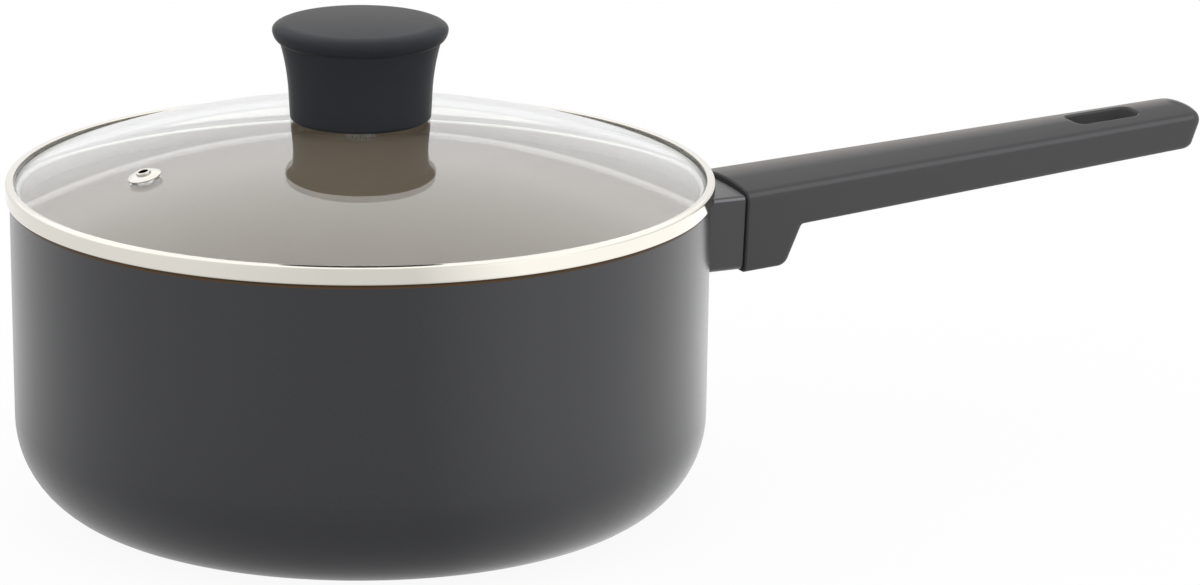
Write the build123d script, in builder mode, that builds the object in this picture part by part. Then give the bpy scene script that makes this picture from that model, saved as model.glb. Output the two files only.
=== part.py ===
from build123d import *
import os
from math import asin, atan2, cos, degrees, pi, radians, sin, sqrt, tan

# A saucepan with one long handle and a domed glass lid.
# The origin is the centre of the base, +Z is up and the handle points along +X. Sizes are in mm.

# Pan: a pressed aluminium shell with a steel plate staked into its base
pan_inside_diameter = 200.0
pan_wall = 2.5
pan_height = 94.1
side_taper = 0.93
base_corner = 29.2
floor_thickness = 3.5
rim_round = 0.8
plate_diameter = 124.0
plate_thickness = 0.8
plate_clearance = 0.1
plate_margin = 6.0
stake_diameter = 4.0
stake_rings = 3
stakes_per_ring = 8

# Handle: a bracket welded to the wall, a ferrule over it and a moulded grip held by one screw
ferrule_length = 15.95
ferrule_inset = 0.9
ferrule_crown = 0.9
ferrule_wall = 2.2
ferrule_end_wall = 3.0
ferrule_edge_round = 1.8
seam_gap = 0.2
seam_chamfer = 0.45
grip_length = 159.85
grip_drop = 8.2
grip_rise = 8.46
grip_width_front = 33.6
grip_width_tip = 24.2
grip_crown = 1.6
grip_depth_front = 13.3
grip_depth_tip = 10.6
grip_draft = 5.0
grip_top_round = 3.0
grip_bottom_round = 2.8
guard_depth = 25.05
guard_length_bottom = 14.35
guard_length_top = 19.35
guard_corner = 4.0
drop_round = 1.0
end_slant = 19.0
end_bow_radius = 60.0
end_corner = 5.0
slot_length = 21.6
slot_width = 11.2
slot_corner = 3.0
slot_to_tip = 20.3
slot_edge_round = 0.8
foot_width = 20.0
foot_height = 14.0
foot_thickness = 4.0
foot_corner = 2.5
tongue_width = 14.0
tongue_thickness = 6.0
tongue_reach = 13.0
socket_clearance = 0.2
spigot_width = 19.0
spigot_height = 12.0
spigot_length = 2.5
spigot_corner = 1.5
handle_screw_diameter = 4.0
handle_screw_setback = 6.0
handle_screw_head_diameter = 7.0
handle_screw_head_height = 2.5
handle_washer_diameter = 6.8
handle_washer_thickness = 0.9
handle_washer_slit = 0.8
handle_recess_depth = 4.2
handle_recess_clearance = 0.3

# Lid: a domed glass disc in a rolled steel band with a skirt inside the pan
lid_overhang = 1.25
band_sheet = 0.6
band_lip = 2.4
band_bend = 1.0
skirt_depth = 4.5
skirt_clearance = 1.1
bedding = 0.4
glass_thickness = 3.4
glass_edge_round = 0.9
brim_width = 1.6
brim_bend = 2.0
dome_rise = 19.1

# Vent: a steel eyelet clinched through the glass, turned a little off the side opposite the handle
vent_to_edge = 31.65
vent_turn = 6.4
vent_bore = 2.8
vent_lip_diameter = 4.4
vent_lip_height = 1.8
vent_lip_round = 0.3
vent_flange_diameter = 9.8
vent_flange_edge = 0.35
vent_flange_rise = 1.1
vent_barrel_diameter = 5.4
vent_hole_clearance = 0.3
vent_seat_gap = 0.06
vent_washer_diameter = 9.0
vent_washer_thickness = 0.5
vent_clinch_diameter = 7.0
vent_clinch_thickness = 0.45

# Knob: a hollow body and a pressed-in cap over a captive nut, screwed through the glass
knob_hole_diameter = 7.0
upper_gasket_clearance = 0.3
gasket_recess = 1.8
knob_seat_gap = 0.06
lower_gasket_diameter = 18.0
lower_gasket_thickness = 1.0
knob_base_diameter = 41.2
knob_waist_diameter = 42.0
knob_neck_diameter = 47.1
knob_cap_diameter = 51.4
knob_top_diameter = 42.0
knob_waist_height = 8.0
knob_body_height = 23.2
knob_cap_height = 5.6
knob_cap_widest = 3.5
knob_crown_blend = 7.0
knob_base_round = 1.2
knob_base_wall = 1.6
knob_wall = 3.8
knob_floor = 5.0
knob_boss_wall = 2.5
cap_spigot_depth = 4.0
cap_spigot_wall = 3.0
cap_spigot_clearance = 0.1
knob_washer_diameter = 17.0
knob_washer_thickness = 1.2
knob_screw_diameter = 5.0
knob_screw_head_diameter = 9.4
knob_screw_head_height = 2.6
knob_screw_past_nut = 0.6
knob_nut_across_flats = 8.0
knob_nut_thickness = 4.0
knob_nut_sides = 6
nut_pocket_clearance = 0.1

# Screws: their clearance holes, threads and cross recesses
screw_clearance = 0.25
thread_clearance = 0.05
head_round = 0.8
recess_share = 0.56
recess_blade = 1.0
recess_depth = 1.6

# What follows from the sizes above
rim_inner_radius = pan_inside_diameter / 2
rim_outer_radius = rim_inner_radius + pan_wall
base_outer_radius = rim_outer_radius - side_taper
seam_x = rim_outer_radius + ferrule_length
crease_front_z = pan_height - grip_drop
tongue_z = crease_front_z - guard_depth / 2

band_outer_radius = rim_outer_radius + lid_overhang
glass_edge_radius = band_outer_radius - band_sheet - bedding
glass_low_z = pan_height + band_sheet + bedding
glass_high_z = glass_low_z + glass_thickness
band_top_z = glass_high_z + bedding + band_sheet
lip_radius = band_outer_radius - band_lip
skirt_radius = rim_inner_radius - skirt_clearance
dome_base_radius = glass_edge_radius - brim_width
vent_distance = glass_edge_radius - vent_to_edge
dome_radius = (dome_base_radius**2 + dome_rise**2) / (2 * dome_rise)
dome_centre_z = glass_high_z + dome_rise - dome_radius
dome_top_z = glass_high_z + dome_rise
dome_under_z = dome_top_z - glass_thickness
dome_under_radius = dome_radius - glass_thickness

gasket_recess_radius = knob_base_diameter / 2 - knob_base_wall
upper_gasket_radius = gasket_recess_radius - upper_gasket_clearance
knob_base_z = dome_centre_z + sqrt(dome_radius**2 - gasket_recess_radius**2) + knob_seat_gap
gasket_roof_z = knob_base_z + gasket_recess
knob_parting_z = knob_base_z + knob_body_height
knob_top_z = knob_parting_z + knob_cap_height
knob_nut_z = knob_base_z + knob_floor
knob_cavity_radius = knob_base_diameter / 2 - knob_wall
washer_top_z = dome_under_z - lower_gasket_thickness
head_seat_z = washer_top_z - knob_washer_thickness


# Heights and half widths along the grip, as straight lines from the seam to the tip. They are
# counted from the seam, where the crease along the top edges begins.
def crease_z(x):
    return grip_rise * x / grip_length


def half_width(x):
    return (grip_width_front + (grip_width_tip - grip_width_front) * x / grip_length) / 2


def underside_z(x):
    return crease_z(x) - grip_depth_front - (grip_depth_tip - grip_depth_front) * x / grip_length


def guard_z(x):
    return crease_z(x) - guard_depth


def dome_z(radius, distance):
    """Height of a dome surface of that sphere radius, at a distance from the lid's axis."""
    return dome_centre_z + sqrt(radius**2 - distance**2)


def handle_section(x, half, crease, low, crown, low_round=0.0, crease_round=0.0, inset=0.0):
    """Outline across the handle: an arched top, drafted sides and a flat bottom."""
    low_half = half - (crease - low) * tan(radians(grip_draft))
    with BuildSketch(Plane.YZ.offset(x)) as section:
        with BuildLine():
            Polyline((half, crease), (low_half, low), (-low_half, low), (-half, crease))
            ThreePointArc((-half, crease), (0, crease + crown), (half, crease))
        make_face()
        if low_round:
            fillet(section.vertices().group_by(Axis.Y)[0], radius=low_round)
        if crease_round:
            fillet(section.vertices().group_by(Axis.Y)[-1], radius=crease_round)
        if inset:
            offset(amount=-inset)
    return section.sketch


def grip_section(x):
    return handle_section(x, half_width(x), crease_z(x), guard_z(0) - guard_corner, grip_crown)


def screw_solid(seat, shank_end, shank_diameter, head_diameter, head_height):
    """A pan-head screw along Z: its head hangs below the seat, its shank stands above it."""
    with BuildPart() as screw:
        with BuildSketch(Plane.XY.offset(seat - head_height)):
            Circle(head_diameter / 2)
        extrude(amount=head_height)
        fillet(screw.edges().group_by(Axis.Z)[0], radius=head_round)
        with BuildSketch(Plane.XY.offset(seat)):
            Circle(shank_diameter / 2)
        extrude(amount=shank_end - seat)
        with BuildSketch(Plane.XY.offset(seat - head_height)):
            Rectangle(head_diameter * recess_share, recess_blade)
            Rectangle(recess_blade, head_diameter * recess_share)
        extrude(amount=recess_depth, mode=Mode.SUBTRACT)
    return screw.part


os.makedirs("parts", exist_ok=True)

# The outside of the pan as a filled solid, which also shapes what seats against the wall
with BuildPart() as pan_outside:
    with BuildSketch(Plane.XZ) as outside_section:
        with BuildLine():
            Polyline(
                (0, 0),
                (base_outer_radius, 0),
                (rim_outer_radius, pan_height),
                (0, pan_height),
                close=True,
            )
        make_face()
        base_vertex = outside_section.vertices().group_by(Axis.Y)[0].sort_by(Axis.X)[-1]
        fillet(base_vertex, radius=base_corner)
    revolve(axis=Axis.Z)

# Rings of round stakes that hold the steel plate: radius and count of each ring
plate_radius = plate_diameter / 2
stake_pitch = (plate_radius - plate_margin) / stake_rings
stake_layout = [(stake_pitch * ring, stakes_per_ring * ring) for ring in range(1, stake_rings + 1)]

# Pan body
with BuildPart() as pan_body:
    add(pan_outside.part)
    with BuildSketch(Plane.XZ) as inside_section:
        with BuildLine():
            Polyline(
                (0, floor_thickness),
                (base_outer_radius - pan_wall, floor_thickness),
                (rim_inner_radius, pan_height),
                (0, pan_height),
                close=True,
            )
        make_face()
        floor_vertex = inside_section.vertices().group_by(Axis.Y)[0].sort_by(Axis.X)[-1]
        fillet(floor_vertex, radius=base_corner - pan_wall)
    revolve(axis=Axis.Z, mode=Mode.SUBTRACT)
    fillet(pan_body.edges().group_by(Axis.Z)[-1], radius=min(rim_round, pan_wall / 3))
    with BuildSketch():
        Circle(plate_radius + plate_clearance)
        for ring_radius, count in stake_layout:
            with PolarLocations(ring_radius, count):
                Circle(stake_diameter / 2, mode=Mode.SUBTRACT)
    extrude(amount=plate_thickness, mode=Mode.SUBTRACT)
pan_body.part.label = "pan_body"
export_step(pan_body.part, "parts/pan_body.step")

# Steel plate in the base, level with the underside, with a hole round every stake
with BuildPart() as induction_plate:
    with BuildSketch():
        Circle(plate_radius)
        for ring_radius, count in stake_layout:
            with PolarLocations(ring_radius, count):
                Circle(stake_diameter / 2 + plate_clearance, mode=Mode.SUBTRACT)
    extrude(amount=plate_thickness)
induction_plate.part.label = "induction_plate"
export_step(induction_plate.part, "parts/induction_plate.step")

# Bracket: a foot shaped to the wall and a tongue that reaches through the ferrule into the grip
screw_x = seam_x + handle_screw_setback
with BuildPart() as handle_bracket:
    with BuildSketch(Plane.YZ):
        with Locations((0, tongue_z)):
            RectangleRounded(foot_width, foot_height, foot_corner)
    extrude(amount=rim_outer_radius + foot_thickness)
    with BuildSketch(Plane.YZ):
        with Locations((0, tongue_z)):
            Rectangle(tongue_width, tongue_thickness)
    extrude(amount=seam_x + tongue_reach)
    add(pan_outside.part, mode=Mode.SUBTRACT)
    with Locations((screw_x, 0, tongue_z)):
        Hole(handle_screw_diameter / 2 + thread_clearance)
handle_bracket.part.label = "handle_bracket"
export_step(handle_bracket.part, "parts/handle_bracket.step")

# Ferrule: a hollow sleeve between wall and grip, with a spigot that locates the grip
ferrule_end_x = seam_x - seam_gap
ferrule_half = half_width(0) - ferrule_inset
ferrule_crease = crease_front_z - ferrule_inset
ferrule_low = crease_front_z - guard_depth + ferrule_inset
ferrule_sizes = (0, ferrule_half, ferrule_crease, ferrule_low, ferrule_crown)
ferrule_outline = handle_section(*ferrule_sizes, grip_bottom_round, ferrule_edge_round)
ferrule_hollow = handle_section(*ferrule_sizes, inset=ferrule_wall)
with BuildPart() as handle_ferrule:
    extrude(ferrule_outline, amount=ferrule_end_x)
    chamfer(handle_ferrule.faces().sort_by(Axis.X)[-1].edges(), length=seam_chamfer)
    extrude(ferrule_hollow, amount=ferrule_end_x - ferrule_end_wall, mode=Mode.SUBTRACT)
    with BuildSketch(Plane.YZ.offset(ferrule_end_x)):
        with Locations((0, tongue_z)):
            RectangleRounded(spigot_width, spigot_height, spigot_corner)
    extrude(amount=seam_gap + spigot_length)
    with BuildSketch(Plane.YZ):
        with Locations((0, tongue_z)):
            Rectangle(tongue_width + 2 * socket_clearance, tongue_thickness + 2 * socket_clearance)
    extrude(amount=seam_x + spigot_length, mode=Mode.SUBTRACT)
    add(pan_outside.part, mode=Mode.SUBTRACT)
handle_ferrule.part.label = "handle_ferrule"
export_step(handle_ferrule.part, "parts/handle_ferrule.step")

# Grip: a tapering bar with a deep guard at the pan end and a hanging slot near the tip. It is
# shaped with the seam at the origin and then set against the ferrule.
past_tip_x = grip_length + end_corner
end_top_z = crease_z(past_tip_x) + 2 * grip_crown
end_arc_x = grip_length - end_bow_radius + (end_top_z - grip_rise) * tan(radians(end_slant))
bow_half_angle = degrees(asin(min(1.0, grip_width_front / 2 / end_bow_radius)))
below_grip_z = guard_z(0) - 2 * guard_corner
handle_recess_z = guard_z(handle_screw_setback) + handle_recess_depth
socket_z = -guard_depth / 2
slot_centre_x = grip_length - slot_to_tip - slot_length / 2
slot_angle = atan2(grip_rise, grip_length)
slot_plane = Plane(
    origin=(slot_centre_x, 0, crease_z(slot_centre_x)),
    x_dir=(cos(slot_angle), 0, sin(slot_angle)),
    z_dir=(-sin(slot_angle), 0, cos(slot_angle)),
)
with BuildPart() as grip_at_seam:
    loft(sections=[grip_section(0), grip_section(past_tip_x)])
    with BuildSketch(Plane.XZ) as below_grip:
        with BuildLine():
            Polyline(
                (-seam_gap, guard_z(-seam_gap)),
                (guard_length_bottom, guard_z(guard_length_bottom)),
                (guard_length_top, underside_z(guard_length_top)),
                (past_tip_x, underside_z(past_tip_x)),
                (past_tip_x, below_grip_z),
                (-seam_gap, below_grip_z),
                close=True,
            )
        make_face()
        guard_point = (guard_length_bottom, guard_z(guard_length_bottom))
        drop_point = (guard_length_top, underside_z(guard_length_top))
        fillet(below_grip.vertices().sort_by_distance(guard_point)[0], radius=guard_corner)
        fillet(below_grip.vertices().sort_by_distance(drop_point)[0], radius=drop_round)
    extrude(amount=grip_width_front, both=True, mode=Mode.SUBTRACT)
    with BuildSketch(Plane.XY.offset(end_top_z)):
        with BuildLine():
            bow = CenterArc((end_arc_x, 0), end_bow_radius, -bow_half_angle, 2 * bow_half_angle)
            Polyline(
                bow @ 1,
                (grip_length + grip_width_front, (bow @ 1).Y),
                (grip_length + grip_width_front, (bow @ 0).Y),
                bow @ 0,
            )
        make_face()
    end_direction = (-sin(radians(end_slant)), 0, -cos(radians(end_slant)))
    extrude(amount=2 * guard_depth, dir=end_direction, mode=Mode.SUBTRACT)
    end_edges = grip_at_seam.edges().filter_by(lambda e: e.center().X > guard_length_top)
    fillet(end_edges.filter_by(lambda e: abs(e.tangent_at(0.5).Z) > 0.7), radius=end_corner)
    top_edges = grip_at_seam.faces().sort_by(Axis.Z)[-1].edges()
    fillet(top_edges.filter_by(lambda e: e.center().X > seam_gap), radius=grip_top_round)
    low_edges = grip_at_seam.edges().filter_by(
        lambda e: e.center().Z < underside_z(e.center().X) + grip_bottom_round / 2
    )
    low_edges = low_edges.filter_by(
        lambda e: e.center().X > slot_centre_x
        or (e.center().X > seam_gap and abs(e.center().Y) > slot_width / 2)
    )
    fillet(low_edges, radius=grip_bottom_round)
    chamfer(grip_at_seam.faces().sort_by(Axis.X)[0].edges(), length=seam_chamfer)
    with BuildSketch(slot_plane):
        RectangleRounded(slot_length, slot_width, slot_corner)
    extrude(amount=2 * grip_depth_front, both=True, mode=Mode.SUBTRACT)
    slot_edges = grip_at_seam.edges(Select.LAST)
    fillet(slot_edges.filter_by(lambda e: abs(e.tangent_at(0.5).Z) < 0.5), radius=slot_edge_round)
    with BuildSketch(Plane.YZ):
        with Locations((0, socket_z)):
            RectangleRounded(
                spigot_width + 2 * socket_clearance,
                spigot_height + 2 * socket_clearance,
                spigot_corner + socket_clearance,
            )
    extrude(amount=spigot_length + socket_clearance, mode=Mode.SUBTRACT)
    with BuildSketch(Plane.YZ):
        with Locations((0, socket_z)):
            Rectangle(tongue_width + 2 * socket_clearance, tongue_thickness + 2 * socket_clearance)
    extrude(amount=tongue_reach + socket_clearance, mode=Mode.SUBTRACT)
    with BuildSketch(Plane.XY.offset(below_grip_z)):
        with Locations((handle_screw_setback, 0)):
            Circle(handle_screw_diameter / 2 + screw_clearance)
    extrude(amount=socket_z - below_grip_z, mode=Mode.SUBTRACT)
    with BuildSketch(Plane.XY.offset(below_grip_z)):
        with Locations((handle_screw_setback, 0)):
            Circle(handle_screw_head_diameter / 2 + handle_recess_clearance)
    extrude(amount=handle_recess_z - below_grip_z, mode=Mode.SUBTRACT)

with BuildPart() as handle_grip:
    with Locations((seam_x, 0, crease_front_z)):
        add(grip_at_seam.part)
handle_grip.part.label = "handle_grip"
export_step(handle_grip.part, "parts/handle_grip.step")

# Screw that draws the grip and the ferrule onto the bracket, from below, with a split lock washer
handle_seat_z = crease_front_z + handle_recess_z - handle_washer_thickness
with BuildPart() as handle_screw:
    with Locations((screw_x, 0)):
        add(
            screw_solid(
                handle_seat_z,
                tongue_z + tongue_thickness / 2,
                handle_screw_diameter,
                handle_screw_head_diameter,
                handle_screw_head_height,
            )
        )
handle_screw.part.label = "handle_screw"
export_step(handle_screw.part, "parts/handle_screw.step")

with BuildPart() as handle_lock_washer:
    with BuildSketch(Plane.XY.offset(handle_seat_z)):
        with Locations((screw_x, 0)):
            Circle(handle_washer_diameter / 2)
            Circle(handle_screw_diameter / 2 + screw_clearance, mode=Mode.SUBTRACT)
        with Locations((screw_x + handle_washer_diameter / 2, 0)):
            Rectangle(handle_washer_diameter, handle_washer_slit, mode=Mode.SUBTRACT)
    extrude(amount=handle_washer_thickness)
handle_lock_washer.part.label = "handle_lock_washer"
export_step(handle_lock_washer.part, "parts/handle_lock_washer.step")

# Glass of the lid: a shallow dome with a flat brim, a hole for the knob screw and one for the vent
knob_hole_radius = knob_hole_diameter / 2
under_base_radius = sqrt(dome_under_radius**2 - (glass_low_z - dome_centre_z) ** 2)
vent_tilt = asin(vent_distance / dome_radius)
vent_x = -cos(radians(vent_turn))
vent_y = -sin(radians(vent_turn))
vent_origin = (vent_distance * vent_x, vent_distance * vent_y, dome_z(dome_radius, vent_distance))
vent_normal = (sin(vent_tilt) * vent_x, sin(vent_tilt) * vent_y, cos(vent_tilt))
vent_plane = Plane(origin=vent_origin, x_dir=(vent_y, -vent_x, 0), z_dir=vent_normal)
vent_section_plane = Plane(
    origin=vent_origin,
    x_dir=(-cos(vent_tilt) * vent_x, -cos(vent_tilt) * vent_y, sin(vent_tilt)),
    z_dir=(-vent_y, vent_x, 0),
)
with BuildPart() as lid_glass:
    with BuildSketch(Plane.XZ) as glass_section:
        with BuildLine():
            ThreePointArc(
                (knob_hole_radius, dome_z(dome_radius, knob_hole_radius)),
                (dome_base_radius / 2, dome_z(dome_radius, dome_base_radius / 2)),
                (dome_base_radius, glass_high_z),
            )
            Polyline(
                (dome_base_radius, glass_high_z),
                (glass_edge_radius, glass_high_z),
                (glass_edge_radius, glass_low_z),
                (under_base_radius, glass_low_z),
            )
            ThreePointArc(
                (under_base_radius, glass_low_z),
                (under_base_radius / 2, dome_z(dome_under_radius, under_base_radius / 2)),
                (knob_hole_radius, dome_z(dome_under_radius, knob_hole_radius)),
            )
            Line(
                (knob_hole_radius, dome_z(dome_under_radius, knob_hole_radius)),
                (knob_hole_radius, dome_z(dome_radius, knob_hole_radius)),
            )
        make_face()
        upper_bend = glass_section.vertices().sort_by_distance((dome_base_radius, glass_high_z))[0]
        fillet(upper_bend, radius=brim_bend)
        lower_bend = glass_section.vertices().sort_by_distance((under_base_radius, glass_low_z))[0]
        fillet(lower_bend, radius=brim_bend)
        fillet(glass_section.vertices().group_by(Axis.X)[-1], radius=glass_edge_round)
    revolve(axis=Axis.Z)
    with BuildSketch(vent_plane):
        Circle(vent_barrel_diameter / 2 + vent_hole_clearance)
    extrude(amount=2 * glass_thickness, both=True, mode=Mode.SUBTRACT)
lid_glass.part.label = "lid_glass"
export_step(lid_glass.part, "parts/lid_glass.step")

# Band: steel sheet rolled round the edge of the glass, with a skirt that keeps the lid on the pan
band_inner_radius = band_outer_radius - band_sheet
with BuildPart() as lid_rim:
    with BuildSketch(Plane.XZ) as band_section:
        with BuildLine():
            Polyline(
                (lip_radius, band_top_z),
                (band_outer_radius, band_top_z),
                (band_outer_radius, pan_height),
                (skirt_radius, pan_height),
                (skirt_radius, pan_height - skirt_depth),
                (skirt_radius - band_sheet, pan_height - skirt_depth),
                (skirt_radius - band_sheet, pan_height + band_sheet),
                (band_inner_radius, pan_height + band_sheet),
                (band_inner_radius, band_top_z - band_sheet),
                (lip_radius, band_top_z - band_sheet),
                close=True,
            )
        make_face()
        for corner, bend in (
            ((band_outer_radius, band_top_z), band_bend),
            ((band_outer_radius, pan_height), band_bend),
            ((band_inner_radius, pan_height + band_sheet), band_bend - band_sheet),
            ((band_inner_radius, band_top_z - band_sheet), band_bend - band_sheet),
            ((skirt_radius, pan_height), band_bend - band_sheet),
            ((skirt_radius - band_sheet, pan_height + band_sheet), band_bend),
        ):
            fillet(band_section.vertices().sort_by_distance(corner)[0], radius=bend)
    revolve(axis=Axis.Z)
lid_rim.part.label = "lid_rim"
export_step(lid_rim.part, "parts/lid_rim.step")

# Bedding: sealant that fills the band round the edge of the glass
with BuildPart() as rim_bedding:
    with BuildSketch(Plane.XZ) as bedding_section:
        with BuildLine():
            Polyline(
                (lip_radius, band_top_z - band_sheet),
                (band_inner_radius, band_top_z - band_sheet),
                (band_inner_radius, pan_height + band_sheet),
                (lip_radius, pan_height + band_sheet),
                close=True,
            )
        make_face()
        fillet(bedding_section.vertices().group_by(Axis.X)[-1], radius=band_bend - band_sheet)
    revolve(axis=Axis.Z)
    add(lid_glass.part, mode=Mode.SUBTRACT)
rim_bedding.part.label = "rim_bedding"
export_step(rim_bedding.part, "parts/rim_bedding.step")

# Vent eyelet: turned steel with a domed flange above the glass, clinched over a washer below it
vent_washer_top = -glass_thickness - vent_seat_gap
vent_washer_low = vent_washer_top - vent_washer_thickness
with BuildPart() as vent_eyelet:
    with BuildSketch(vent_section_plane) as eyelet_section:
        with BuildLine():
            Polyline(
                (vent_flange_diameter / 2, vent_flange_edge),
                (vent_flange_diameter / 2, 0),
                (vent_barrel_diameter / 2, 0),
                (vent_barrel_diameter / 2, vent_washer_low),
                (vent_clinch_diameter / 2, vent_washer_low),
                (vent_clinch_diameter / 2, vent_washer_low - vent_clinch_thickness),
                (vent_bore / 2, vent_washer_low - vent_clinch_thickness),
                (vent_bore / 2, vent_lip_height),
                (vent_lip_diameter / 2, vent_lip_height),
                (vent_lip_diameter / 2, vent_flange_rise),
            )
            TangentArc(
                (vent_lip_diameter / 2, vent_flange_rise),
                (vent_flange_diameter / 2, vent_flange_edge),
                tangent=(1, 0),
            )
        make_face()
        fillet(eyelet_section.vertices().group_by(Axis.Y)[-1], radius=vent_lip_round)
    revolve(axis=Axis(vent_origin, vent_normal))
vent_eyelet.part.label = "vent_eyelet"
export_step(vent_eyelet.part, "parts/vent_eyelet.step")

with BuildPart() as vent_washer:
    with BuildSketch(vent_section_plane):
        with Locations((0, vent_washer_top)):
            Rectangle(vent_washer_diameter / 2, vent_washer_thickness, align=(Align.MIN, Align.MAX))
            Rectangle(
                vent_barrel_diameter / 2 + vent_seat_gap,
                vent_washer_thickness,
                align=(Align.MIN, Align.MAX),
                mode=Mode.SUBTRACT,
            )
    revolve(axis=Axis(vent_origin, vent_normal))
vent_washer.part.label = "vent_washer"
export_step(vent_washer.part, "parts/vent_washer.step")

# Gaskets: soft rings above and below the glass, each shaped to the dome on one side
with BuildPart() as upper_gasket:
    with BuildSketch(Plane.XY.offset(glass_high_z)):
        Circle(upper_gasket_radius)
        Circle(knob_hole_radius, mode=Mode.SUBTRACT)
    extrude(amount=gasket_roof_z - glass_high_z)
    with Locations((0, 0, dome_centre_z)):
        Sphere(dome_radius, mode=Mode.SUBTRACT)
upper_gasket.part.label = "upper_gasket"
export_step(upper_gasket.part, "parts/upper_gasket.step")

with BuildPart() as lower_gasket:
    with BuildSketch(Plane.XY.offset(washer_top_z)):
        Circle(lower_gasket_diameter / 2)
        Circle(knob_hole_radius, mode=Mode.SUBTRACT)
    extrude(amount=dome_top_z - washer_top_z)
    with Locations((0, 0, dome_centre_z)):
        Sphere(dome_under_radius, mode=Mode.INTERSECT)
lower_gasket.part.label = "lower_gasket"
export_step(lower_gasket.part, "parts/lower_gasket.step")

# Knob body: a hollow moulding with a boss that holds the nut and a recess below for the gasket
nut_pocket_radius = knob_nut_across_flats / 2 + nut_pocket_clearance
boss_radius = nut_pocket_radius / cos(pi / knob_nut_sides) + knob_boss_wall
waist_z = knob_base_z + knob_waist_height
with BuildPart() as knob_body:
    with BuildSketch(Plane.XZ) as body_section:
        with BuildLine():
            side = Line((knob_base_diameter / 2, knob_base_z), (knob_waist_diameter / 2, waist_z))
            TangentArc(side @ 1, (knob_neck_diameter / 2, knob_parting_z), tangent=side % 1)
            Polyline(
                (knob_neck_diameter / 2, knob_parting_z),
                (knob_cavity_radius, knob_parting_z),
                (knob_cavity_radius, knob_nut_z),
                (boss_radius, knob_nut_z),
                (boss_radius, knob_nut_z + knob_nut_thickness),
                (knob_screw_diameter / 2 + screw_clearance, knob_nut_z + knob_nut_thickness),
                (knob_screw_diameter / 2 + screw_clearance, gasket_roof_z),
                (gasket_recess_radius, gasket_roof_z),
                (gasket_recess_radius, knob_base_z),
                (knob_base_diameter / 2, knob_base_z),
            )
        make_face()
        base_vertex = body_section.vertices().group_by(Axis.Y)[0].sort_by(Axis.X)[-1]
        fillet(base_vertex, radius=knob_base_round)
    revolve(axis=Axis.Z)
    with BuildSketch(Plane.XY.offset(knob_nut_z)):
        RegularPolygon(nut_pocket_radius, knob_nut_sides, major_radius=False)
    extrude(amount=knob_nut_thickness, mode=Mode.SUBTRACT)
knob_body.part.label = "knob_body"
export_step(knob_body.part, "parts/knob_body.step")

# Knob cap: a slightly crowned disc with a rounded edge and a spigot pressed into the body
cap_spigot_radius = knob_cavity_radius - cap_spigot_clearance
cap_widest_z = knob_parting_z + knob_cap_widest
cap_edge_width = (knob_cap_diameter - knob_top_diameter) / 2
cap_edge_height = knob_top_z - cap_widest_z
crown_slope = atan2(
    cap_edge_height * sin(radians(knob_crown_blend)), cap_edge_width * cos(radians(knob_crown_blend))
)
with BuildPart() as knob_cap:
    with BuildSketch(Plane.XZ):
        with BuildLine():
            cap_edge = EllipticalCenterArc(
                (knob_top_diameter / 2, cap_widest_z),
                cap_edge_width,
                cap_edge_height,
                start_angle=0,
                arc_size=90 - knob_crown_blend,
            )
            crown_top_z = (cap_edge @ 1).Y + (cap_edge @ 1).X * tan(crown_slope / 2)
            TangentArc(cap_edge @ 1, (0, crown_top_z), tangent=cap_edge % 1)
            TangentArc(
                (knob_cap_diameter / 2, cap_widest_z),
                (knob_neck_diameter / 2, knob_parting_z),
                tangent=(0, -1),
            )
            Polyline(
                (knob_neck_diameter / 2, knob_parting_z),
                (cap_spigot_radius, knob_parting_z),
                (cap_spigot_radius, knob_parting_z - cap_spigot_depth),
                (cap_spigot_radius - cap_spigot_wall, knob_parting_z - cap_spigot_depth),
                (cap_spigot_radius - cap_spigot_wall, knob_parting_z),
                (0, knob_parting_z),
                (0, crown_top_z),
            )
        make_face()
    revolve(axis=Axis.Z)
knob_cap.part.label = "knob_cap"
export_step(knob_cap.part, "parts/knob_cap.step")

# Knob fastening: a screw from inside the lid, its washer and the nut in the boss
with BuildPart() as knob_nut:
    with BuildSketch(Plane.XY.offset(knob_nut_z)):
        RegularPolygon(knob_nut_across_flats / 2, knob_nut_sides, major_radius=False)
        Circle(knob_screw_diameter / 2 + thread_clearance, mode=Mode.SUBTRACT)
    extrude(amount=knob_nut_thickness)
knob_nut.part.label = "knob_nut"
export_step(knob_nut.part, "parts/knob_nut.step")

with BuildPart() as knob_washer:
    with BuildSketch(Plane.XY.offset(head_seat_z)):
        Circle(knob_washer_diameter / 2)
        Circle(knob_screw_diameter / 2 + screw_clearance, mode=Mode.SUBTRACT)
    extrude(amount=knob_washer_thickness)
knob_washer.part.label = "knob_washer"
export_step(knob_washer.part, "parts/knob_washer.step")

with BuildPart() as knob_screw:
    add(
        screw_solid(
            head_seat_z,
            knob_nut_z + knob_nut_thickness + knob_screw_past_nut,
            knob_screw_diameter,
            knob_screw_head_diameter,
            knob_screw_head_height,
        )
    )
knob_screw.part.label = "knob_screw"
export_step(knob_screw.part, "parts/knob_screw.step")
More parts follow.
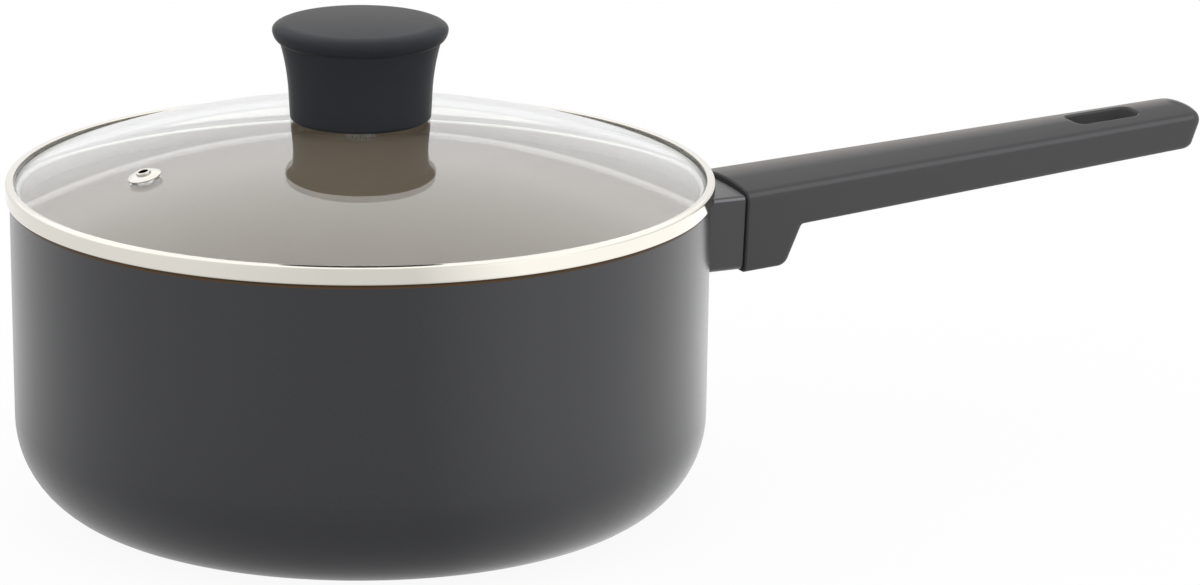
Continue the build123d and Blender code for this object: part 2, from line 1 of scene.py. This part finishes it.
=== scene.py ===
import math
import bpy
import mathutils
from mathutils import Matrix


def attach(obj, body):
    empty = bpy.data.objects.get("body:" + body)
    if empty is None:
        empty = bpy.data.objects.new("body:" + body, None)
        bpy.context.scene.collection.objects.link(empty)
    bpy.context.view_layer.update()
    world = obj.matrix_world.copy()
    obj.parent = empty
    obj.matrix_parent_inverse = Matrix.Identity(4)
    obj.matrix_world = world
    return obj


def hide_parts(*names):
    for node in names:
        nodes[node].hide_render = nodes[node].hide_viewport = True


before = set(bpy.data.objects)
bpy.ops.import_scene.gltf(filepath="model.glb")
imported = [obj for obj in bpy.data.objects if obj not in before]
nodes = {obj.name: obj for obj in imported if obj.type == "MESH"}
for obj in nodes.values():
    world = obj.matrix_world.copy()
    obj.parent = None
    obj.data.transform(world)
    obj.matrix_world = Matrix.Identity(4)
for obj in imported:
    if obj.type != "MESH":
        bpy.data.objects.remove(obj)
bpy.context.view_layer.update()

mm = 0.001

# Pan body: one aluminium blank pressed deep, sprayed satin dark grey outside and coated
# taupe non-stick inside. The coating runs over the rim; the base is left bare for its plate.
pan_height = 94.1
coating_edge = 93.1
coating_feather = 0.1
base_ring = 62.15
base_face_top = 1.0
inside_bottom = 3.0
rim_middle = 101.3
inward_lean = -0.02
upward_lean = 0.3
least_radius = 0.001
paint_grey = (0.0125, 0.0132, 0.0165)
coating_taupe = (0.48, 0.405, 0.325)
shaded_rim_brown = (0.08, 0.045, 0.02)
bare_aluminium = (0.62, 0.62, 0.63)


def new_finish(name, colour, roughness, metallic=0.0):
    """A finish with its even values set on the shader itself."""
    finish = bpy.data.materials.new(name)
    finish.use_nodes = True
    shader = finish.node_tree.nodes["Principled BSDF"]
    shader.inputs["Base Color"].default_value = (*colour, 1.0)
    shader.inputs["Roughness"].default_value = roughness
    shader.inputs["Metallic"].default_value = metallic
    return finish, finish.node_tree, shader


def place_on_piece(tree):
    """Coordinates on the piece itself, in metres."""
    return tree.nodes.new("ShaderNodeTexCoord").outputs["Object"]


def speckle(tree, size_mm, detail=3.0):
    """Fine noise whose grains are about that size."""
    noise = tree.nodes.new("ShaderNodeTexNoise")
    noise.inputs["Scale"].default_value = 1.0 / (size_mm * mm)
    noise.inputs["Detail"].default_value = detail
    tree.links.new(place_on_piece(tree), noise.inputs["Vector"])
    return noise.outputs["Fac"]


def spread(tree, value, low, high, to_low, to_high):
    """That value, spread from one range to another."""
    spreader = tree.nodes.new("ShaderNodeMapRange")
    spreader.inputs["From Min"].default_value = low
    spreader.inputs["From Max"].default_value = high
    spreader.inputs["To Min"].default_value = to_low
    spreader.inputs["To Max"].default_value = to_high
    tree.links.new(value, spreader.inputs["Value"])
    return spreader.outputs["Result"]


def grain_tone(tree, grain, colour, play):
    """That colour, by that share darker and lighter with the grain."""
    tone = tree.nodes.new("ShaderNodeMix")
    tone.data_type = "RGBA"
    tone.inputs["A"].default_value = (*(c * (1.0 - play) for c in colour), 1.0)
    tone.inputs["B"].default_value = (*(c * (1.0 + play) for c in colour), 1.0)
    tree.links.new(grain, tone.inputs["Factor"])
    return tone.outputs["Result"]


def lay_over(tree, under, colour, share):
    """A colour laid over another one by that share."""
    layer = tree.nodes.new("ShaderNodeMix")
    layer.data_type = "RGBA"
    layer.inputs["B"].default_value = (*colour, 1.0)
    tree.links.new(under, layer.inputs["A"])
    tree.links.new(share, layer.inputs["Factor"])
    return layer.outputs["Result"]


def vary_roughness(tree, shader, value, smoothest, roughest, low=0.3, high=0.7):
    """Roughness that follows a value, which for a noise seldom leaves the range given here."""
    tree.links.new(spread(tree, value, low, high, smoothest, roughest), shader.inputs["Roughness"])


def relief(tree, shader, value, depth_mm, strength):
    """Fine relief on the surface, that deep."""
    bump = tree.nodes.new("ShaderNodeBump")
    bump.inputs["Distance"].default_value = depth_mm * mm
    bump.inputs["Strength"].default_value = strength
    tree.links.new(value, bump.inputs["Height"])
    tree.links.new(bump.outputs["Normal"], shader.inputs["Normal"])


paint, tree, shader = new_finish("satin_grey_paint", paint_grey, roughness=0.24)
orange_peel = speckle(tree, size_mm=0.9)
height = tree.nodes.new("ShaderNodeSeparateXYZ")
tree.links.new(place_on_piece(tree), height.inputs["Vector"])
feather_start = (coating_edge - coating_feather) * mm
over_rim = spread(tree, height.outputs["Z"], feather_start, coating_edge * mm, to_low=0.0, to_high=1.0)
wall_tone = grain_tone(tree, orange_peel, paint_grey, play=0.06)
# Where the coating runs over the rim it turns dark brown: the coating's own brown, darkened as painted
# shade from the band above it.
tree.links.new(lay_over(tree, wall_tone, shaded_rim_brown, over_rim), shader.inputs["Base Color"])
shine = spread(tree, over_rim, low=0.0, high=1.0, to_low=0.5, to_high=0.15)
tree.links.new(shine, shader.inputs["Specular IOR Level"])
vary_roughness(tree, shader, orange_peel, smoothest=0.22, roughest=0.26)
relief(tree, shader, orange_peel, depth_mm=0.004, strength=0.5)

coating, tree, shader = new_finish("taupe_non_stick", coating_taupe, roughness=0.4)
flecks = speckle(tree, size_mm=0.35, detail=2.0)
tree.links.new(grain_tone(tree, flecks, coating_taupe, play=0.1), shader.inputs["Base Color"])
vary_roughness(tree, shader, flecks, smoothest=0.36, roughest=0.46)
relief(tree, shader, flecks, depth_mm=0.006, strength=0.5)

bare, tree, shader = new_finish("bare_aluminium", bare_aluminium, roughness=0.38, metallic=1.0)
vary_roughness(tree, shader, speckle(tree, size_mm=0.6), smoothest=0.32, roughest=0.46)

pan = nodes["pan_body"]
pan.data.materials.clear()
pan_finishes = (paint, coating, bare)
for finish in pan_finishes:
    pan.data.materials.append(finish)
for face in pan.data.polygons:
    x, y, z = face.center / mm
    radius = math.hypot(x, y)
    outward = (face.normal.x * x + face.normal.y * y) / max(radius, least_radius)
    finish = paint
    if z < base_face_top and radius < base_ring:
        finish = bare
    elif z > inside_bottom and outward < inward_lean:
        finish = coating
    elif z > inside_bottom and face.normal.z > upward_lean and radius < rim_middle:
        finish = coating
    face.material_index = pan_finishes.index(finish)

# Plate in the base: a disc of magnetic steel pressed into the aluminium and held by rings of
# stakes that fill its holes. It is turned flat, which leaves fine rings.
plate_steel = (0.5, 0.5, 0.49)


def turned_rings(tree, pitch_mm, wave_factor=0.05):
    """Fine rings round the vertical axis, as a lathe leaves them."""
    rings = tree.nodes.new("ShaderNodeTexWave")
    rings.wave_type = "RINGS"
    rings.rings_direction = "Z"
    rings.inputs["Scale"].default_value = wave_factor / (pitch_mm * mm)
    rings.inputs["Distortion"].default_value = 0.4
    rings.inputs["Detail"].default_value = 2.0
    tree.links.new(place_on_piece(tree), rings.inputs["Vector"])
    return rings.outputs["Fac"]


def dress(piece, finish):
    """Gives a piece one finish all over."""
    piece.data.materials.clear()
    piece.data.materials.append(finish)


plate_finish, tree, shader = new_finish("turned_steel", plate_steel, roughness=0.3, metallic=1.0)
lathe_marks = turned_rings(tree, pitch_mm=0.7)
vary_roughness(tree, shader, lathe_marks, smoothest=0.24, roughest=0.38, low=0.0, high=1.0)
relief(tree, shader, lathe_marks, depth_mm=0.01, strength=0.4)
dress(nodes["induction_plate"], plate_finish)

# Handle bracket: cast aluminium, welded to the wall by its foot. Its tongue reaches through the
# ferrule into the grip, so almost nothing of it shows.
cast_grey = (0.55, 0.55, 0.56)
cast_finish, tree, shader = new_finish("cast_aluminium", cast_grey, roughness=0.5, metallic=1.0)
sand = speckle(tree, size_mm=0.5)
vary_roughness(tree, shader, sand, smoothest=0.42, roughest=0.6)
relief(tree, shader, sand, depth_mm=0.03, strength=0.5)
dress(nodes["handle_bracket"], cast_finish)

# Ferrule: a cast aluminium sleeve that covers the bracket between wall and grip, sprayed satin
# grey like the pan. A painted highlight lies on its rounded upper edges.
ferrule_grey = (0.04, 0.04, 0.043)
ferrule_painted_highlight = (0.22, 0.22, 0.2365)


def edge_highlight(tree):
    """Near one on the lower half of the rounded upper edges, where a painted highlight goes, and nought
    elsewhere.
    """
    lean = tree.nodes.new("ShaderNodeSeparateXYZ")
    tree.links.new(tree.nodes.new("ShaderNodeTexCoord").outputs["Normal"], lean.inputs["Vector"])
    sideways = tree.nodes.new("ShaderNodeMath")
    sideways.operation = "POWER"
    sideways.inputs[1].default_value = 2.0
    tree.links.new(lean.outputs["Y"], sideways.inputs[0])
    slope = tree.nodes.new("ShaderNodeMath")
    slope.operation = "MULTIPLY"
    tree.links.new(sideways.outputs["Value"], slope.inputs[0])
    tree.links.new(lean.outputs["Z"], slope.inputs[1])
    return spread(tree, slope.outputs["Value"], low=0.28, high=0.38, to_low=0.0, to_high=1.0)


ferrule_finish, tree, shader = new_finish("ferrule_paint", ferrule_grey, roughness=0.36)
shader.inputs["Specular IOR Level"].default_value = 0.4
sleeve_grain = speckle(tree, size_mm=0.5, detail=2.0)
sleeve_tone = grain_tone(tree, sleeve_grain, ferrule_grey, play=0.07)
# The lighter edge colour is a painted highlight, where the rounded upper edges catch light from above.
tree.links.new(lay_over(tree, sleeve_tone, ferrule_painted_highlight, edge_highlight(tree)), shader.inputs["Base Color"])
vary_roughness(tree, shader, sleeve_grain, smoothest=0.33, roughest=0.39)
relief(tree, shader, sleeve_grain, depth_mm=0.006, strength=0.5)
dress(nodes["handle_ferrule"], ferrule_finish)

# Grip: phenolic moulding with a fine spark-eroded grain, drawn onto the tongue by one screw.
# A painted highlight lies on its rounded upper edges, and a painted sheen where it is seen at a flat angle.
grip_grey = (0.079, 0.079, 0.0815)
grip_painted_highlight = (0.1185, 0.1185, 0.12225)
grip_painted_sheen = (0.38, 0.355, 0.335)


def grazing_sheen(tree):
    """Nought where the surface faces the eye, one where it is seen at a flat angle: the share of a painted
    sheen.
    """
    facing = tree.nodes.new("ShaderNodeLayerWeight").outputs["Facing"]
    return spread(tree, facing, low=0.7, high=0.98, to_low=0.0, to_high=1.0)


grip_finish, tree, shader = new_finish("grip_plastic", grip_grey, roughness=0.55)
shader.inputs["Specular IOR Level"].default_value = 0.06
grip_grain = speckle(tree, size_mm=0.22, detail=2.0)
grip_tone = grain_tone(tree, grip_grain, grip_grey, play=0.08)
# The lighter edge colour is a painted highlight, where the rounded upper edges catch light from above.
highlit_tone = lay_over(tree, grip_tone, grip_painted_highlight, edge_highlight(tree))
# A painted sheen pales the grip where it is seen at a flat angle.
tree.links.new(lay_over(tree, highlit_tone, grip_painted_sheen, grazing_sheen(tree)), shader.inputs["Base Color"])
vary_roughness(tree, shader, grip_grain, smoothest=0.51, roughest=0.59)
relief(tree, shader, grip_grain, depth_mm=0.01, strength=0.6)
dress(nodes["handle_grip"], grip_finish)

# Handle screw and lock washer: plated steel. The screw is driven up from under the guard and
# draws the grip onto the bracket's tongue.
plated_grey = (0.6, 0.6, 0.59)
plated_finish, tree, shader = new_finish("plated_steel", plated_grey, roughness=0.28, metallic=1.0)
vary_roughness(tree, shader, speckle(tree, size_mm=0.4), smoothest=0.22, roughest=0.36)
dress(nodes["handle_screw"], plated_finish)
dress(nodes["handle_lock_washer"], plated_finish)

# Lid glass: tempered soda-lime glass, slumped to a shallow dome with a flat brim, ground round
# at its edge and bored for the vent and the knob's screw.
glass_tint = (0.97, 0.985, 0.98)
glass_shadow = (0.97, 0.975, 0.97)
glass_finish, tree, shader = new_finish("clear_glass", glass_tint, roughness=0.0)
shader.inputs["Transmission Weight"].default_value = 1.0
shader.inputs["IOR"].default_value = 1.51
clear = tree.nodes.new("ShaderNodeBsdfTransparent")
clear.inputs["Color"].default_value = (*glass_shadow, 1.0)
let_light_in = tree.nodes.new("ShaderNodeMixShader")
shadow_ray = tree.nodes.new("ShaderNodeLightPath").outputs["Is Shadow Ray"]
tree.links.new(shadow_ray, let_light_in.inputs["Fac"])
tree.links.new(shader.outputs["BSDF"], let_light_in.inputs[1])
tree.links.new(clear.outputs["BSDF"], let_light_in.inputs[2])
tree.links.new(let_light_in.outputs["Shader"], tree.nodes["Material Output"].inputs["Surface"])
dress(nodes["lid_glass"], glass_finish)

# Lid band: polished stainless strip rolled round the glass, with a skirt that drops inside the
# pan. Rolling leaves faint lines round it.
band_radius = 103.75
band_top = 99.5
band_lip = 2.4
lip_fall = 0.2
lip_edge = 0.25
band_sheet = 0.6
band_bend = 1.0
skirt_radius = 98.9
skirt_low = 89.6
skirt_edge = 0.2
crease_angle = math.radians(40.0)
band_steel = (0.63, 0.605, 0.55)


def rounded(corners, steps=8):
    """A closed outline with those corners, each (across, up, radius), as points in mm."""
    outline = []
    for k, (x, z, radius) in enumerate(corners):
        here = mathutils.Vector((x, z))
        back = (mathutils.Vector(corners[k - 1][:2]) - here).normalized()
        ahead = (mathutils.Vector(corners[(k + 1) % len(corners)][:2]) - here).normalized()
        half = back.angle(ahead) / 2
        centre = here + (back + ahead).normalized() * radius / math.sin(half)
        first = here + back * radius / math.tan(half) - centre
        last = here + ahead * radius / math.tan(half) - centre
        for step in range(steps + 1):
            outline.append(centre + first.lerp(last, step / steps).normalized() * radius)
    return outline


def turned(name, outline, segments=288):
    """A piece of that outline turned round the vertical axis."""
    points = []
    for s in range(segments):
        angle = 2 * math.pi * s / segments
        for r, z in outline:
            points.append((r * math.cos(angle) * mm, r * math.sin(angle) * mm, z * mm))
    count = len(outline)
    faces = []
    for s in range(segments):
        here, there = s * count, (s + 1) % segments * count
        for k in range(count):
            n = (k + 1) % count
            faces.append((here + k, here + n, there + n, there + k))
    mesh = bpy.data.meshes.new(name)
    mesh.from_pydata(points, [], faces)
    mesh.shade_smooth()
    mesh.set_sharp_from_angle(angle=crease_angle)
    piece = bpy.data.objects.new(name, mesh)
    bpy.context.scene.collection.objects.link(piece)
    return piece


inner_bend = band_bend - band_sheet
band = turned(
    "polished_band",
    rounded(
        (
            (band_radius - band_lip, band_top, lip_edge),
            (band_radius - band_lip, band_top - band_sheet, lip_edge),
            (band_radius - band_sheet, band_top - band_sheet - lip_fall, inner_bend),
            (band_radius - band_sheet, pan_height + band_sheet, inner_bend),
            (skirt_radius - band_sheet, pan_height + band_sheet, band_bend),
            (skirt_radius - band_sheet, skirt_low, skirt_edge),
            (skirt_radius, skirt_low, skirt_edge),
            (skirt_radius, pan_height, inner_bend),
            (band_radius, pan_height, band_bend),
            (band_radius, band_top - lip_fall, band_bend),
        )
    ),
)
band_finish, tree, shader = new_finish("polished_stainless", band_steel, roughness=0.1, metallic=1.0)
roll_lines = turned_rings(tree, pitch_mm=0.25)
vary_roughness(tree, shader, roll_lines, smoothest=0.07, roughest=0.13, low=0.0, high=1.0)
dress(band, band_finish)
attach(band, "lid")
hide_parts("lid_rim")

# Bedding: clear silicone, run into the band before the glass is set in it. It fills the band
# round the edge of the glass.
bedding_grey = (0.55, 0.55, 0.53)
bedding_finish, tree, shader = new_finish("clear_sealant", bedding_grey, roughness=0.35)
vary_roughness(tree, shader, speckle(tree, size_mm=0.8), smoothest=0.3, roughest=0.42)
shader.inputs["Transmission Weight"].default_value = 0.4
dress(nodes["rim_bedding"], bedding_finish)

# Vent: a turned stainless eyelet opposite the handle. It goes through the glass from above and
# is clinched over a plated washer below.
vent_steel = (0.58, 0.555, 0.51)
vent_finish, tree, shader = new_finish("vent_stainless", vent_steel, roughness=0.1, metallic=1.0)
vary_roughness(tree, shader, speckle(tree, size_mm=0.3), smoothest=0.07, roughest=0.14)
dress(nodes["vent_eyelet"], vent_finish)
dress(nodes["vent_washer"], plated_finish)

# Gaskets: translucent grey silicone rings above and below the glass, so that the knob can be
# drawn tight.
gasket_grey = (0.2, 0.2, 0.2)
gasket_finish, tree, shader = new_finish("gasket_silicone", gasket_grey, roughness=0.45)
vary_roughness(tree, shader, speckle(tree, size_mm=0.3), smoothest=0.4, roughest=0.5)
shader.inputs["Transmission Weight"].default_value = 0.35
dress(nodes["upper_gasket"], gasket_finish)
dress(nodes["lower_gasket"], gasket_finish)

# Knob: a hollow phenolic moulding with a pressed-in cap, screwed through the glass from below
# into a nut held in its boss. Its grain is as fine as the grip's.
knob_grey = (0.026, 0.029, 0.0335)
knob_painted_sheen = (0.13, 0.122, 0.116)
knob_finish, tree, shader = new_finish("knob_plastic", knob_grey, roughness=0.55)
shader.inputs["Specular IOR Level"].default_value = 0.1
knob_grain = speckle(tree, size_mm=0.2, detail=2.0)
knob_tone = grain_tone(tree, knob_grain, knob_grey, play=0.08)
# A painted sheen pales the knob where it is seen at a flat angle.
tree.links.new(lay_over(tree, knob_tone, knob_painted_sheen, grazing_sheen(tree)), shader.inputs["Base Color"])
vary_roughness(tree, shader, knob_grain, smoothest=0.51, roughest=0.59)
relief(tree, shader, knob_grain, depth_mm=0.008, strength=0.5)
dress(nodes["knob_body"], knob_finish)
dress(nodes["knob_cap"], knob_finish)
for fastener in ("knob_nut", "knob_washer", "knob_screw"):
    dress(nodes[fastener], plated_finish)

# Studio: a white floor that runs out of sight, and a white room that is brighter at the back
# and on the right, with a light strip across the back.
handle_turn = math.radians(25.0)
floor_half = 12.0
floor_z = -0.0002
floor_white = (0.97, 0.97, 0.97)
paper_share = 0.93
white = 1.0
room_fill = 1.0
room_front = 1.0
room_left = 1.12
room_right = 1.6
back_glow = 1.2
ceiling_glow = 0.45
strip_glow = 0.9


def calc(tree, operation, first, second):
    """One sum on two values or sockets."""
    step = tree.nodes.new("ShaderNodeMath")
    step.operation = operation
    for socket, value in zip(step.inputs, (first, second)):
        if isinstance(value, float):
            socket.default_value = value
        else:
            tree.links.new(value, socket)
    return step.outputs["Value"]


def between(tree, first, second, share):
    """A value on the way from the first to the second, by that share."""
    return calc(tree, "ADD", first, calc(tree, "MULTIPLY", share, calc(tree, "SUBTRACT", second, first)))


def bearings(tree, where):
    """How far to the right and to the back a direction or place lies, and its height."""
    parts = tree.nodes.new("ShaderNodeSeparateXYZ")
    tree.links.new(where, parts.inputs["Vector"])
    x, y, z = parts.outputs
    cos_turn, sin_turn = math.cos(handle_turn), math.sin(handle_turn)
    right = calc(tree, "SUBTRACT", calc(tree, "MULTIPLY", x, cos_turn), calc(tree, "MULTIPLY", y, sin_turn))
    back = calc(tree, "ADD", calc(tree, "MULTIPLY", x, sin_turn), calc(tree, "MULTIPLY", y, cos_turn))
    return right, back, z


def walls(tree, right):
    """Strength of the room from the front to its left and right walls."""
    to_left = spread(tree, right, low=-0.75, high=-0.1, to_low=room_left - room_front, to_high=0.0)
    to_right = spread(tree, right, low=0.3, high=0.75, to_low=0.0, to_high=room_right - room_front)
    return calc(tree, "ADD", room_front, calc(tree, "ADD", to_left, to_right))


def mirrored_ray(tree):
    """One where the ray has come off a mirror or through glass."""
    ray = tree.nodes.new("ShaderNodeLightPath")
    return calc(tree, "MAXIMUM", ray.outputs["Is Glossy Ray"], ray.outputs["Is Transmission Ray"])


def seen_ray(tree):
    """One where the ray comes straight from the eye."""
    return tree.nodes.new("ShaderNodeLightPath").outputs["Is Camera Ray"]


floor_corners = [
    (-floor_half, -floor_half, floor_z),
    (floor_half, -floor_half, floor_z),
    (floor_half, floor_half, floor_z),
    (-floor_half, floor_half, floor_z),
]
floor_mesh = bpy.data.meshes.new("floor")
floor_mesh.from_pydata(floor_corners, [], [(0, 1, 2, 3)])
floor = bpy.data.objects.new("floor", floor_mesh)
bpy.context.scene.collection.objects.link(floor)

floor_finish, tree, shader = new_finish("white_floor", floor_white, roughness=1.0)
shader.inputs["Specular IOR Level"].default_value = 0.0
to_place = tree.nodes.new("ShaderNodeVectorMath")
to_place.operation = "NORMALIZE"
tree.links.new(place_on_piece(tree), to_place.inputs["Vector"])
from_pan = tree.nodes.new("ShaderNodeVectorMath")
from_pan.operation = "LENGTH"
tree.links.new(place_on_piece(tree), from_pan.inputs["Vector"])
to_right, to_back, level = bearings(tree, to_place.outputs["Vector"])
# Painted shadow: near the pan the floor's glow in reflections is dimmed, standing in for the pan's shadow.
pan_shade = spread(tree, from_pan.outputs["Value"], low=0.09, high=0.24, to_low=0.75, to_high=1.0)
in_mirror = calc(tree, "MULTIPLY", walls(tree, to_right), pan_shade)
mirror = mirrored_ray(tree)
paper = tree.nodes.new("ShaderNodeEmission")
tree.links.new(between(tree, white, in_mirror, mirror), paper.inputs["Strength"])
looked_at = calc(tree, "MAXIMUM", seen_ray(tree), mirror)
lit = tree.nodes.new("ShaderNodeMixShader")
tree.links.new(calc(tree, "MULTIPLY", looked_at, paper_share), lit.inputs["Fac"])
tree.links.new(shader.outputs["BSDF"], lit.inputs[1])
tree.links.new(paper.outputs["Emission"], lit.inputs[2])
tree.links.new(lit.outputs["Shader"], tree.nodes["Material Output"].inputs["Surface"])
floor_mesh.materials.append(floor_finish)

room = bpy.data.worlds.new("white_room")
bpy.context.scene.world = room
room.use_nodes = True
tree = room.node_tree
background = tree.nodes["Background"]
background.inputs["Color"].default_value = (1.0, 1.0, 1.0, 1.0)
to_right, to_back, level = bearings(tree, tree.nodes.new("ShaderNodeTexCoord").outputs["Generated"])
back_wall = spread(tree, level, low=-0.05, high=0.2, to_low=1.0, to_high=back_glow)
ceiling = spread(tree, level, low=0.34, high=0.5, to_low=0.0, to_high=ceiling_glow)
strip_from = spread(tree, level, low=0.33, high=0.342, to_low=0.0, to_high=1.0)
strip_to = spread(tree, level, low=0.35, high=0.362, to_low=strip_glow, to_high=0.0)
strip = calc(tree, "MULTIPLY", strip_from, strip_to)
back_light = calc(tree, "ADD", calc(tree, "ADD", back_wall, ceiling), strip)
at_back = spread(tree, to_back, low=-0.35, high=0.05, to_low=0.0, to_high=1.0)
glow = between(tree, walls(tree, to_right), back_light, at_back)
unseen = between(tree, room_fill, glow, mirrored_ray(tree))
tree.links.new(between(tree, unseen, white, seen_ray(tree)), background.inputs["Strength"])

# Camera: far off with a long lens, a little above the rim, with the handle to the right and
# pointing away.
pitch = math.radians(15.225)
lean = math.radians(0.428)
distance = 2000.0
scale_px = 3.418
image_px = (1200.0, 585.0)
rim_px = (360.73, 188.8)
rim_z = 95.7

focal_px = scale_px * distance
aside = (rim_px[0] - image_px[0] / 2) / focal_px
above = -(rim_px[1] - image_px[1] / 2) / focal_px
across = distance * (aside * math.cos(lean) - above * math.sin(lean))
rise = aside * math.sin(lean) + above * math.cos(lean)
away = distance * (math.cos(pitch) + rise * math.sin(pitch))
down = distance * (-math.sin(pitch) + rise * math.cos(pitch))
lens = bpy.data.cameras.new("camera")
lens.sensor_fit = "HORIZONTAL"
lens.sensor_width = 36.0
lens.lens = focal_px / image_px[0] * lens.sensor_width
lens.clip_end = 100.0
camera = bpy.data.objects.new("camera", lens)
camera.location = (
    (-across * math.cos(handle_turn) - away * math.sin(handle_turn)) * mm,
    (across * math.sin(handle_turn) - away * math.cos(handle_turn)) * mm,
    (rim_z - down) * mm,
)
swung = mathutils.Matrix.Rotation(-handle_turn, 3, "Z")
tipped = mathutils.Matrix.Rotation(math.pi / 2 - pitch, 3, "X")
leaned = mathutils.Matrix.Rotation(lean, 3, "Z")
camera.rotation_euler = (swung @ tipped @ leaned).to_euler()
bpy.context.scene.collection.objects.link(camera)
bpy.context.scene.camera = camera
bpy.context.scene.view_settings.view_transform = "Standard"
